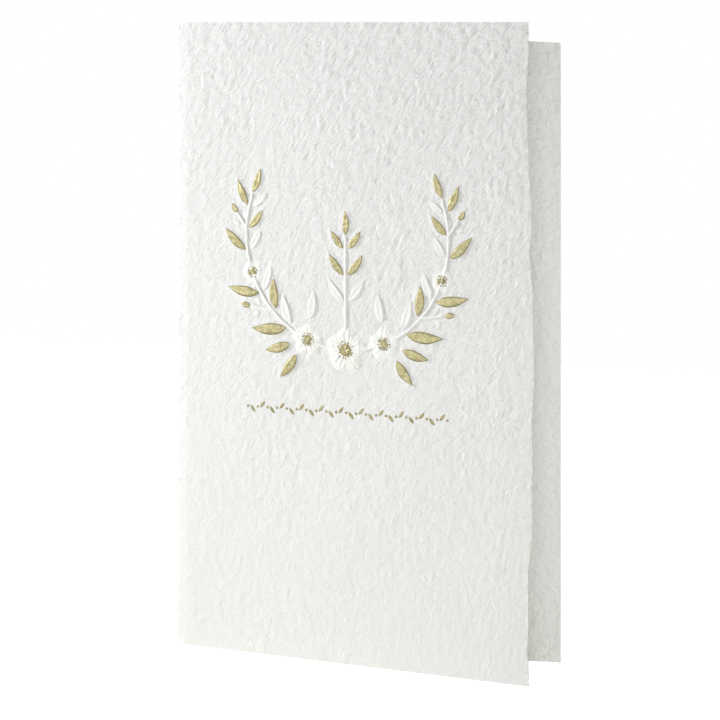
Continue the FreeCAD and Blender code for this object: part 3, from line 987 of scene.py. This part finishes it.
class Graph:
    def __init__(self, owner):
        owner.use_nodes = True
        self.tree = owner.node_tree
        self.tree.nodes.clear()

    def node(self, kind, settings=None, values=None, output=0):
        made = self.tree.nodes.new(kind)
        for key, value in (settings or {}).items():
            if key == "stops":
                self.setStops(made.color_ramp, value)
            else:
                setattr(made, key, value)
        for key, value in (values or {}).items():
            if isinstance(value, Signal):
                self.tree.links.new(value.socket, made.inputs[key])
            else:
                made.inputs[key].default_value = value
        return Signal(self, made.outputs[output]) if len(made.outputs) else made

    def setStops(self, ramp, stops):
        while len(ramp.elements) > 1:
            ramp.elements.remove(ramp.elements[-1])
        for k, (place, colour) in enumerate(stops):
            element = ramp.elements[0] if k == 0 else ramp.elements.new(place)
            element.position, element.color = place, colour

    def mixColour(self, share, first, second):
        values = {"Factor": share, 6: first, 7: second}
        return self.node("ShaderNodeMix", {"data_type": "RGBA"}, values, output=2)

    def noise(self, vector, scale=1.0, detail=2.0, rough=0.5):
        values = {"Vector": vector, "Scale": scale, "Detail": detail, "Roughness": rough}
        return self.node("ShaderNodeTexNoise", None, values)

    def bump(self, height, depth):
        return self.node("ShaderNodeBump", None, {"Strength": 1.0, "Distance": depth, "Height": height})

    def attribute(self, name, output="Fac"):
        return self.node("ShaderNodeAttribute", {"attribute_name": name}, output=output)

    def ramp(self, share, stops):
        return self.node("ShaderNodeValToRGB", {"stops": stops}, {"Fac": share})

    def scaled(self, vector, scale):
        return self.node("ShaderNodeVectorMath", {"operation": "MULTIPLY"}, {0: vector, 1: scale})


def addMaterial(name):
    material = bpy.data.materials.new(name)
    return material, Graph(material)


paperLook = {
    "colour": (0.894, 0.898, 0.938, 1),
    "shade": (0.856, 0.86, 0.898, 1),
    # painted shade tint: the inside faces, seen in shade, get a less blue colour than the outside of the same
    # paper
    "insideShadeTint": (0.892, 0.898, 0.896, 1),
    # painted light: the raised plain forms get a lighter colour than the paper so they read as lit; their
    # smoothness is in the roughness and bump
    "pressedPaintedLight": (0.948, 0.95, 0.968, 1),
    # painted highlight: the torn edge is painted near white, standing for its thin edge catching the light
    "tornEdgeHighlight": (0.98, 0.98, 0.975, 1),
    "fleck": (0.80, 0.785, 0.74, 1),
    "roughness": 0.92,
    "pressedRoughness": 0.6,
    "specular": 0.3,
    "mottleScale": (0.11, 0.09, 1),  # across and up, for each millimetre
    "grainScale": (1.1, 0.95, 1),
    "fibreScale": (2.2, 1.9, 1),
    "lumpScale": (0.42, 0.4, 1),
    "fleckScale": (0.9, 0.5, 1),
    "fleckStops": [(0.66, (0, 0, 0, 1)), (0.74, (1, 1, 1, 1))],
    "fleckShare": 0.25,
    "mottleShare": 0.6,
    "fibreShare": 0.25,
    "pressedCalm": 0.7,
    "tornFibre": 0.3,
    "grainDepth": 0.00029,  # metres
    "insideLumps": 3.1,
}


def makePaper():
    material, graph = addMaterial("cottonPaper")
    place = graph.attribute("feltPlace", "Vector")
    pressed, torn, outside = graph.attribute("plainForm"), graph.attribute("torn"), graph.attribute("outside")
    grainShare = graph.attribute("grainShare")
    mottle = graph.noise(graph.scaled(place, paperLook["mottleScale"]), detail=3.0)
    grain = graph.noise(graph.scaled(place, paperLook["grainScale"]), detail=3.0)
    fibre = graph.noise(graph.scaled(place, paperLook["fibreScale"]))
    lumps = graph.noise(graph.scaled(place, paperLook["lumpScale"]), detail=3.0, rough=0.6)
    flecks = graph.noise(graph.scaled(place, paperLook["fleckScale"]), detail=5.0, rough=0.7)
    flecks = graph.ramp(flecks, paperLook["fleckStops"])
    mottleShare, fibreShare = paperLook["mottleShare"], paperLook["fibreShare"]
    lightness = mottle * mottleShare + grain * (1 - mottleShare)
    colour = graph.mixColour(lightness, paperLook["shade"], paperLook["colour"])
    # painted shade tint on the inside faces
    colour = graph.mixColour(outside, paperLook["insideShadeTint"], colour)
    colour = graph.mixColour(flecks * paperLook["fleckShare"], colour, paperLook["fleck"])
    # painted light: the raised plain forms are painted lighter than the paper
    colour = graph.mixColour(pressed, colour, paperLook["pressedPaintedLight"])
    # painted highlight: a lighter colour along the torn edge
    colour = graph.mixColour(torn, colour, paperLook["tornEdgeHighlight"])
    height = (grain * (1 - fibreShare) + fibre * fibreShare) * (1 - pressed * paperLook["pressedCalm"])
    height = height + torn * fibre * paperLook["tornFibre"]
    height = height * grainShare + lumps * (1 - outside) * paperLook["insideLumps"]
    smooth = paperLook["roughness"] - paperLook["pressedRoughness"]
    values = {
        "Base Color": colour,
        "Roughness": paperLook["roughness"] - pressed * smooth,
        "Specular IOR Level": paperLook["specular"],
        "Normal": graph.bump(height, paperLook["grainDepth"]),
    }
    surface = graph.node("ShaderNodeBsdfPrincipled", None, values)
    graph.node("ShaderNodeOutputMaterial", None, {"Surface": surface})
    return material


foilLook = {
    "face": (0.285, 0.251, 0.119, 1),
    "bright": (0.6, 0.56, 0.35, 1),
    # rim: painted shade, the darker colour laid along the foil's edges
    "rim": (0.175, 0.148, 0.064, 1),
    "rimSpread": 0.7,
    "speckleScale": 2100.0,  # for each metre
    "cloudScale": 700.0,
    "speckle": 2.6,
    "cloud": 1.2,
    "darker": 1.5,
    "roughness": 0.38,
    "roughnessSpread": 0.24,
    "grainDepth": 0.00006,  # metres
}


def makeFoil():
    material, graph = addMaterial("paleGoldFoil")
    place = graph.node("ShaderNodeTexCoord", output="Object")
    rim = graph.attribute("rim")
    speckle = graph.noise(place, foilLook["speckleScale"], detail=3.0, rough=0.7)
    cloud = graph.noise(place, foilLook["cloudScale"])
    share = speckle * foilLook["speckle"] + cloud * foilLook["cloud"] - foilLook["darker"]
    colour = graph.mixColour(share, foilLook["face"], foilLook["bright"])
    # painted shade: the rim share darkens the foil towards its edges
    colour = graph.mixColour(rim ** foilLook["rimSpread"], colour, foilLook["rim"])
    values = {
        "Base Color": colour,
        "Metallic": 1.0,
        "Roughness": foilLook["roughness"] + speckle * foilLook["roughnessSpread"],
        "Normal": graph.bump(speckle, foilLook["grainDepth"]),
    }
    surface = graph.node("ShaderNodeBsdfPrincipled", None, values)
    graph.node("ShaderNodeOutputMaterial", None, {"Surface": surface})
    return material


sheet.data.materials.append(makePaper())
foilMaterial = makeFoil()
for piece in gilding:
    piece.data.materials.append(foilMaterial)
print("materials made")


# Floor, lamps and camera

studio = {
    "floorWidth": 8.0,  # metres
    "floorColour": (0.94, 0.94, 0.74, 1),
    "floorGlow": 1.24,  # makes up for the floor's shaded share, so that it is white
    "floorWhite": 0.8,
    "ambient": 0.182,
    "lamps": {  # place and size in metres, and power in watts
        "keyLamp": ((-0.55, 0.06, 0.262), 0.14, 2.7),
        "sideLamp": ((1.0, -0.42, 0.015), 0.2, 6.6),
        "frontLamp": ((-0.045, -1.1, 0.12), 0.2, 2.85),
        "footLamp": ((-0.06, -0.17, 0.012), 0.15, 0.056),
        "backLamp": ((0.8, 0.9, 0.25), 0.6, 8.0),
    },
}

photo = {
    "lens": 131.65,
    "sensor": 36.0,
    "shiftPixels": 64.3,  # the lens looks this far below the photograph's middle
    "framePixels": 720,
    "rightOfFold": 0.05447,  # metres
    "distance": 0.781,
    "height": 0.1058,
    "shear": 0.0524,
}


def seenDirectly(graph):
    kinds = ("Is Camera Ray", "Is Glossy Ray", "Is Transmission Ray")
    camera, glossy, transmitted = [graph.node("ShaderNodeLightPath", output=kind) for kind in kinds]
    return graph.node("ShaderNodeMath", {"operation": "MAXIMUM"}, {0: camera, 1: glossy + transmitted})


def addFloor():
    half, level = studio["floorWidth"] / 2, cadLow.z
    mesh = bpy.data.meshes.new("studioFloor")
    corners = [(-half, -half, level), (half, -half, level), (half, half, level), (-half, half, level)]
    mesh.from_pydata(corners, [], [(0, 1, 2, 3)])
    floor = bpy.data.objects.new("studioFloor", mesh)
    bpy.context.scene.collection.objects.link(floor)
    material, graph = addMaterial("whiteFloor")
    matt = graph.node("ShaderNodeBsdfDiffuse", None, {"Color": studio["floorColour"]})
    glow = {"Color": (1, 1, 1, 1), "Strength": studio["floorGlow"]}
    white = graph.node("ShaderNodeEmission", None, glow)
    share = seenDirectly(graph) * studio["floorWhite"]
    mixed = graph.node("ShaderNodeMixShader", None, {"Fac": share, 1: matt, 2: white})
    graph.node("ShaderNodeOutputMaterial", None, {"Surface": mixed})
    mesh.materials.append(material)


def addWorld():
    world = bpy.data.worlds.new("whiteRoom")
    bpy.context.scene.world = world
    graph = Graph(world)
    room = graph.node("ShaderNodeBackground", None, {"Color": (1, 1, 1, 1), "Strength": studio["ambient"]})
    white = graph.node("ShaderNodeBackground", None, {"Color": (1, 1, 1, 1), "Strength": 1.0})
    mixed = graph.node("ShaderNodeMixShader", None, {"Fac": seenDirectly(graph), 1: room, 2: white})
    graph.node("ShaderNodeOutputWorld", None, {"Surface": mixed})


def addLamp(name, place, size, power):
    data = bpy.data.lights.new(name, "AREA")
    data.shape, data.size, data.energy = "DISK", size, power
    lamp = bpy.data.objects.new(name, data)
    bpy.context.scene.collection.objects.link(lamp)
    lamp.location = place
    target = Vector((0, 0, (cadLow.z + cadHigh.z) / 2))
    lamp.rotation_euler = (target - lamp.location).to_track_quat("-Z", "Y").to_euler()
    lamp.visible_camera = False


def addCamera():
    # The photograph's verticals are upright and its level lines lean, so the camera is sheared upwards along
    # its view.
    data = bpy.data.cameras.new("photoCamera")
    data.lens, data.sensor_width = photo["lens"], photo["sensor"]
    data.shift_y = -photo["shiftPixels"] / photo["framePixels"]
    low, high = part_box("folded_sheet")
    stand = bpy.data.objects.new("cameraStand", None)
    camera = bpy.data.objects.new("photoCamera", data)
    for made in (stand, camera):
        bpy.context.scene.collection.objects.link(made)
    foldLine = high.y - foldOuterRadius * mm
    stand.location = (low.x + photo["rightOfFold"], foldLine - photo["distance"], photo["height"])
    camera.rotation_euler = (math.radians(90), 0, 0)
    shear = Matrix.Identity(4)
    shear[2][0] = photo["shear"]
    camera.parent = stand
    camera.matrix_parent_inverse = shear
    bpy.context.scene.camera = camera


addFloor()
addWorld()
for name, (place, size, power) in studio["lamps"].items():
    addLamp(name, place, size, power)
addCamera()
bpy.context.scene.view_settings.view_transform = "Standard"
print("stage set")
